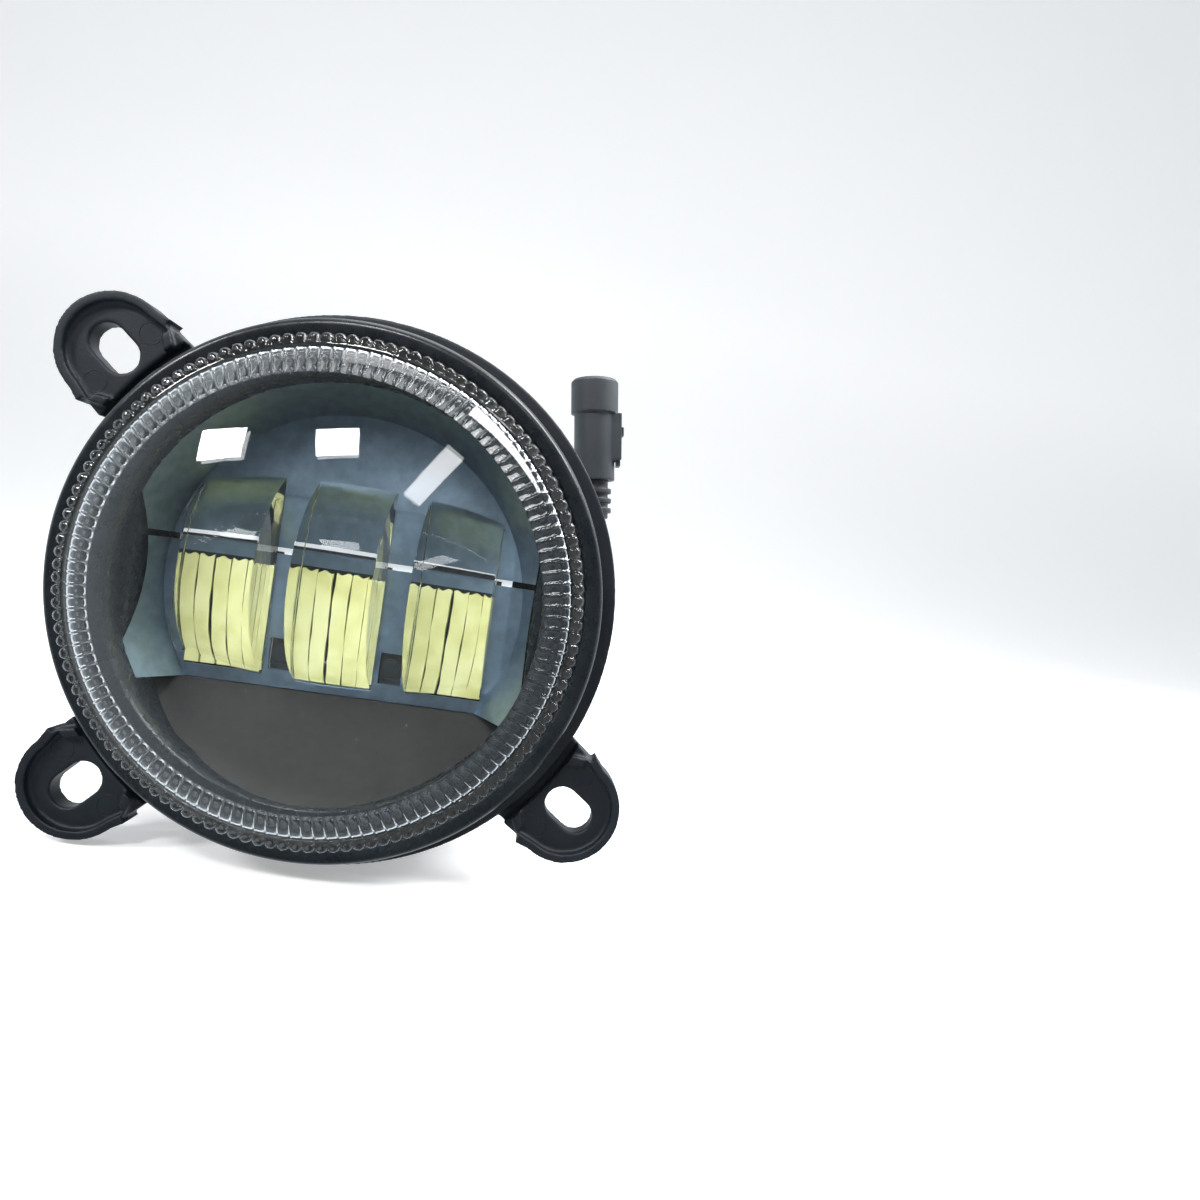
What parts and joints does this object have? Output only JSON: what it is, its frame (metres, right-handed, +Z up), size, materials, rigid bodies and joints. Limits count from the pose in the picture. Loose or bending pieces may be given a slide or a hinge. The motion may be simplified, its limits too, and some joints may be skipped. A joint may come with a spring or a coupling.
{
  "type": "fog light",
  "caption": "Round clear-lens LED fog lamp with ribbed die-cast body, tilted by an aiming screw and spring in a moulded slotted-ear ring, with a short lead and round connector.",
  "frame": {"origin": "on the lamp's axis, in the plane of the three ears' rear seat faces", "axes": "-Y is the way the beam shines, +X is right seen from the front, +Z is up"},
  "size_m": [0.1132, 0.1018, 0.111],
  "materials": {
    "ring_plastic": "fine grained black moulding",
    "bush_brass": "turned",
    "zinc_steel": "bright zinc plated",
    "spring_steel": "pale plated wire",
    "cast_black": "gloss black powder coat on die-cast aluminium",
    "black_steel": "black oxide",
    "nut_plastic": "natural nylon",
    "lens_clear": "clear moulded polycarbonate, polished",
    "optic_clear": "clear moulded acrylic, polished",
    "seal_rubber": "butyl",
    "dark_mirror": "smoked vacuum metallised",
    "shield_grey": "warm dark grey, satin",
    "board_aluminium": "white solder mask on aluminium core",
    "pad_grey": "soft silicone",
    "phosphor": "yellow phosphor coat",
    "board_green": "solder mask",
    "ferrite": "sintered",
    "can_aluminium": "drawn can",
    "chip_black": "moulded epoxy",
    "wire_red": "insulation",
    "gland_rubber": "moulded rubber",
    "cap_black": "satin moulded rubber",
    "membrane_white": "expanded film",
    "cable_jacket": "smooth black jacket",
    "boot_rubber": "moulded rubber",
    "connector_plastic": "dark grey moulding",
    "pin_brass": "tinned pin"
  },
  "bodies": {
    "bracket": {"mounting_ring": "ring_plastic", "pivot_bush_left": "bush_brass", "pivot_bush_right": "bush_brass", "adjuster_washer": "zinc_steel", "adjuster_spring": "spring_steel"},
    "adjuster": {"adjuster_screw": "zinc_steel"},
    "lamp": {"rear_housing": "cast_black", "pivot_screw_left": "black_steel", "pivot_screw_right": "black_steel", "adjuster_nut": "nut_plastic", "lens": "lens_clear", "lens_seal": "seal_rubber", "inner_optic": "optic_clear", "upper_reflector": "dark_mirror", "lower_reflector": "dark_mirror", "lower_shield": "shield_grey", "led_board": "board_aluminium", "thermal_pad": "pad_grey", "led_strips_left": "phosphor", "led_strips_centre": "phosphor", "led_strips_right": "phosphor", "board_screws": "black_steel", "driver_board": "board_green", "driver_screws": "zinc_steel", "driver_inductor": "ferrite", "driver_capacitors": "can_aluminium", "driver_chips": "chip_black", "lead_wires": "wire_red", "cable_gland": "gland_rubber", "vent_cap": "cap_black", "vent_membrane": "membrane_white", "cable": "cable_jacket", "connector_boot": "boot_rubber", "connector_shell": "connector_plastic", "connector_latch": "connector_plastic", "connector_terminals": "pin_brass"}
  },
  "joints": [
    {"name": "aim_tilt", "type": "hinge", "parent": "bracket", "child": "lamp", "pos_m": [0, 0.006, 0], "axis": [1, 0, 0], "range_deg": [-3.5, 3.5], "deforming": ["adjuster_spring"]},
    {"name": "adjuster_turn", "type": "hinge", "parent": "bracket", "child": "adjuster", "pos_m": [-0.0166, 0.023, -0.02], "axis": [0, 0, 1], "range_deg": [-300, 300]}
  ],
  "couplings": [
    {"joint": "adjuster_turn", "follows": "aim_tilt", "ratio": -85.451}
  ]
}
